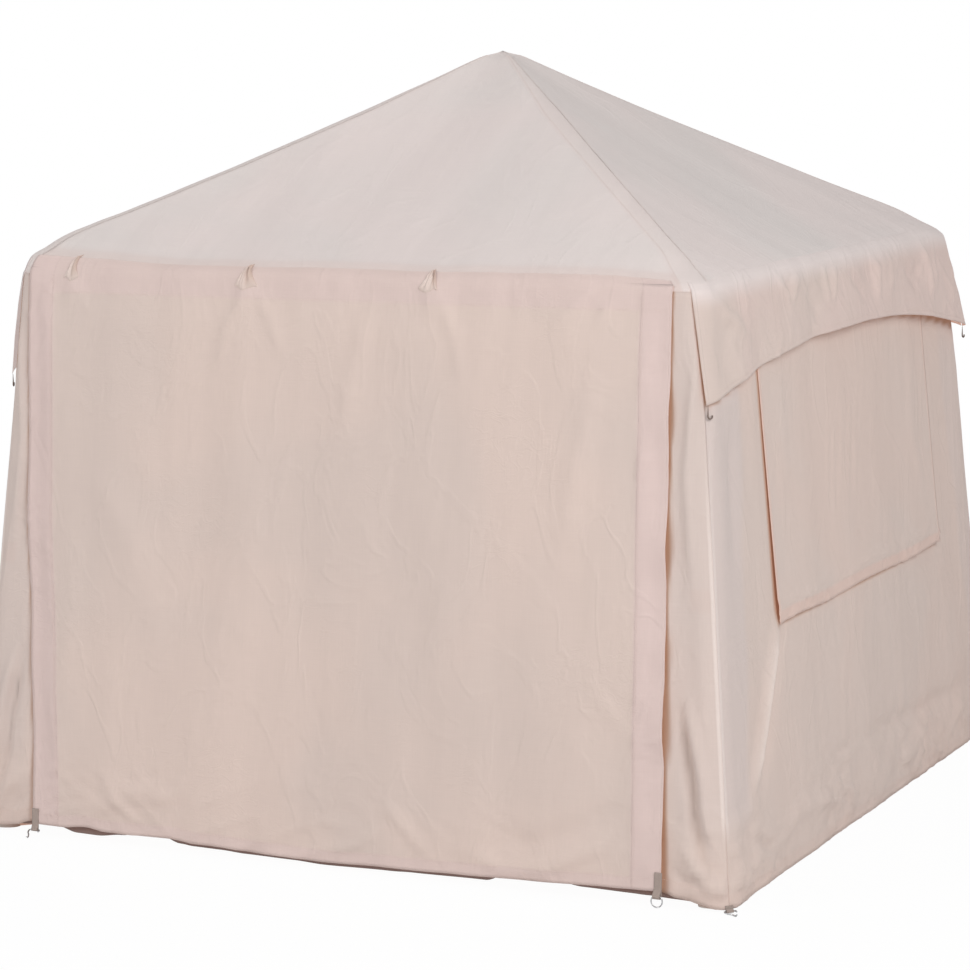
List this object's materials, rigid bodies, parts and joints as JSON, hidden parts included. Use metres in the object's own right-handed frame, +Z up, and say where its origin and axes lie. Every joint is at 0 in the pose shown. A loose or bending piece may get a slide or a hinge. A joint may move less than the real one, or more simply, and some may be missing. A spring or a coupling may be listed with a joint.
{
  "type": "inflatable tent",
  "caption": "Square garden tent on an inflatable frame, with a pyramid roof, arched valances, mesh windows with flaps and a lift-up front curtain.",
  "frame": {"origin": "middle of the groundsheet's underside, on the ground", "axes": "+Z up, -Y out of the front curtain, +X to the right seen from the front"},
  "size_m": [2.7432, 2.7969, 2.53],
  "materials": {
    "tent_cloth": "matte woven polyester",
    "roof_cloth": "matte woven polyester",
    "curtain_cloth": "matte woven polyester",
    "valance_cloth": "matte woven polyester",
    "flap_cloth": "matte woven polyester",
    "insect_mesh": "open insect mesh",
    "groundsheet_cloth": "coated woven polyester",
    "sleeve_cloth": "woven polyester sleeve",
    "bladder_film": "clear film tube",
    "webbing": "woven webbing",
    "leg_tie_cloth": "matte woven polyester",
    "hub_plastic": "moulded plastic",
    "valve_plastic": "moulded plastic",
    "elastic_hook": "moulded plastic",
    "hook_steel": "zinc plated wire"
  },
  "bodies": {
    "root": {"roof_canopy": "roof_cloth", "groundsheet": "groundsheet_cloth", "apex_hub": "hub_plastic", "eave_sleeve": "sleeve_cloth", "eave_bladder": "bladder_film", "valve_eave": "valve_plastic", "front_wall": "tent_cloth", "right_wall": "tent_cloth", "rear_wall": "tent_cloth", "left_wall": "tent_cloth", "right_window_mesh": "insect_mesh", "rear_window_mesh": "insect_mesh", "left_window_mesh": "insect_mesh", "beam_sleeve_front_right": "sleeve_cloth", "beam_bladder_front_right": "bladder_film", "leg_tie_front_right": "leg_tie_cloth", "valve_front_right": "valve_plastic", "corner_tab_front_right": "webbing", "beam_sleeve_rear_right": "sleeve_cloth", "beam_bladder_rear_right": "bladder_film", "leg_tie_rear_right": "leg_tie_cloth", "valve_rear_right": "valve_plastic", "corner_tab_rear_right": "webbing", "beam_sleeve_rear_left": "sleeve_cloth", "beam_bladder_rear_left": "bladder_film", "leg_tie_rear_left": "leg_tie_cloth", "valve_rear_left": "valve_plastic", "corner_tab_rear_left": "webbing", "beam_sleeve_front_left": "sleeve_cloth", "beam_bladder_front_left": "bladder_film", "leg_tie_front_left": "leg_tie_cloth", "valve_front_left": "valve_plastic", "corner_tab_front_left": "webbing"},
    "curtain": {"front_curtain": "curtain_cloth", "roll_tie_1": "webbing", "roll_tie_2": "webbing", "roll_tie_3": "webbing", "curtain_tab_left": "webbing", "curtain_tab_right": "webbing"},
    "ring": {"curtain_ring": "hook_steel"},
    "curtain_hook": {"curtain_hook": "hook_steel"},
    "right_flap": {"right_window_flap": "flap_cloth"},
    "right_valance": {"right_valance": "valance_cloth"},
    "rear_flap": {"rear_window_flap": "flap_cloth"},
    "rear_valance": {"rear_valance": "valance_cloth"},
    "left_flap": {"left_window_flap": "flap_cloth"},
    "left_valance": {"left_valance": "valance_cloth"},
    "valance_hook_right_front": {"valance_hook_right_front": "elastic_hook"},
    "valance_hook_right_rear": {"valance_hook_right_rear": "elastic_hook"},
    "valance_hook_left_rear": {"valance_hook_left_rear": "elastic_hook"},
    "valance_hook_left_front": {"valance_hook_left_front": "elastic_hook"},
    "corner_hook_front_right": {"corner_hook_front_right": "hook_steel"},
    "corner_hook_rear_right": {"corner_hook_rear_right": "hook_steel"},
    "corner_hook_rear_left": {"corner_hook_rear_left": "hook_steel"},
    "corner_hook_front_left": {"corner_hook_front_left": "hook_steel"},
    "valve_cap_front_right": {"valve_cap_front_right": "valve_plastic"},
    "valve_cap_rear_right": {"valve_cap_rear_right": "valve_plastic"},
    "valve_cap_rear_left": {"valve_cap_rear_left": "valve_plastic"},
    "valve_cap_front_left": {"valve_cap_front_left": "valve_plastic"},
    "valve_cap_eave": {"valve_cap_eave": "valve_plastic"}
  },
  "joints": [
    {"name": "curtain_lift", "type": "hinge", "parent": "root", "child": "curtain", "pos_m": [0, -1.2022, 1.862], "axis": [-1, 0, 0], "range_deg": [0, 95]},
    {"name": "ring_swing", "type": "hinge", "parent": "curtain", "child": "ring", "pos_m": [1.116, -1.37687, 0.042], "axis": [-1, 0, 0], "range_deg": [0, 80]},
    {"name": "curtain_hook_swing", "type": "hinge", "parent": "curtain", "child": "curtain_hook", "pos_m": [-1.089, -1.37355, 0.027], "axis": [-1, 0, 0], "range_deg": [0, 90]},
    {"name": "right_flap_lift", "type": "hinge", "parent": "root", "child": "right_flap", "pos_m": [1.21502, 0, 1.702], "axis": [0, -1, 0], "range_deg": [0, 85]},
    {"name": "right_valance_lift", "type": "hinge", "parent": "root", "child": "right_valance", "pos_m": [1.2022, 0, 1.862], "axis": [0, -1, 0], "range_deg": [0, 85]},
    {"name": "rear_flap_lift", "type": "hinge", "parent": "root", "child": "rear_flap", "pos_m": [0, 1.21502, 1.702], "axis": [1, 0, 0], "range_deg": [0, 85]},
    {"name": "rear_valance_lift", "type": "hinge", "parent": "root", "child": "rear_valance", "pos_m": [0, 1.2022, 1.862], "axis": [1, 0, 0], "range_deg": [0, 85]},
    {"name": "left_flap_lift", "type": "hinge", "parent": "root", "child": "left_flap", "pos_m": [-1.21502, 0, 1.702], "axis": [0, 1, 0], "range_deg": [0, 85]},
    {"name": "left_valance_lift", "type": "hinge", "parent": "root", "child": "left_valance", "pos_m": [-1.2022, 0, 1.862], "axis": [0, 1, 0], "range_deg": [0, 85]},
    {"name": "valance_hook_right_front_swing", "type": "hinge", "parent": "right_valance", "child": "valance_hook_right_front", "pos_m": [1.22198, -1.21541, 1.50707], "axis": [0.7071, -0.7071, 0], "range_deg": [-60, 60]},
    {"name": "valance_hook_right_rear_swing", "type": "hinge", "parent": "right_valance", "child": "valance_hook_right_rear", "pos_m": [1.24914, 1.23553, 1.50707], "axis": [0.7071, 0.7071, 0], "range_deg": [-60, 60]},
    {"name": "valance_hook_left_rear_swing", "type": "hinge", "parent": "left_valance", "child": "valance_hook_left_rear", "pos_m": [-1.24909, 1.23549, 1.50707], "axis": [-0.7071, 0.7071, 0], "range_deg": [-60, 60]},
    {"name": "valance_hook_left_front_swing", "type": "hinge", "parent": "left_valance", "child": "valance_hook_left_front", "pos_m": [-1.23433, -1.18996, 1.50707], "axis": [-0.9135, -0.4067, 0], "range_deg": [-60, 60]},
    {"name": "corner_hook_front_right_lift", "type": "hinge", "parent": "root", "child": "corner_hook_front_right", "pos_m": [1.3326, -1.3326, 0.008], "axis": [-0.7071, -0.7071, 0], "range_deg": [0, 90]},
    {"name": "corner_hook_rear_right_lift", "type": "hinge", "parent": "root", "child": "corner_hook_rear_right", "pos_m": [1.3326, 1.3326, 0.008], "axis": [0.7071, -0.7071, 0], "range_deg": [0, 90]},
    {"name": "corner_hook_rear_left_lift", "type": "hinge", "parent": "root", "child": "corner_hook_rear_left", "pos_m": [-1.3326, 1.3326, 0.008], "axis": [0.7071, 0.7071, 0], "range_deg": [0, 90]},
    {"name": "corner_hook_front_left_lift", "type": "hinge", "parent": "root", "child": "corner_hook_front_left", "pos_m": [-1.3326, -1.3326, 0.008], "axis": [-0.7071, 0.7071, 0], "range_deg": [0, 90]},
    {"name": "valve_cap_front_right_open", "type": "hinge", "parent": "root", "child": "valve_cap_front_right", "pos_m": [1.19687, -1.19687, 0.36031], "axis": [0.7071, 0.7071, 0], "range_deg": [0, 100]},
    {"name": "valve_cap_rear_right_open", "type": "hinge", "parent": "root", "child": "valve_cap_rear_right", "pos_m": [1.19687, 1.19687, 0.36031], "axis": [-0.7071, 0.7071, 0], "range_deg": [0, 100]},
    {"name": "valve_cap_rear_left_open", "type": "hinge", "parent": "root", "child": "valve_cap_rear_left", "pos_m": [-1.19687, 1.19687, 0.36031], "axis": [-0.7071, -0.7071, 0], "range_deg": [0, 100]},
    {"name": "valve_cap_front_left_open", "type": "hinge", "parent": "root", "child": "valve_cap_front_left", "pos_m": [-1.19687, -1.19687, 0.36031], "axis": [0.7071, -0.7071, 0], "range_deg": [0, 100]},
    {"name": "valve_cap_eave_open", "type": "hinge", "parent": "root", "child": "valve_cap_eave", "pos_m": [0, 1.10532, 1.701], "axis": [-1, 0, 0], "range_deg": [0, 100]}
  ],
  "couplings": [
    {"joint": "right_valance_lift", "follows": "right_flap_lift", "ratio": 1},
    {"joint": "rear_valance_lift", "follows": "rear_flap_lift", "ratio": 1},
    {"joint": "left_valance_lift", "follows": "left_flap_lift", "ratio": 1}
  ]
}
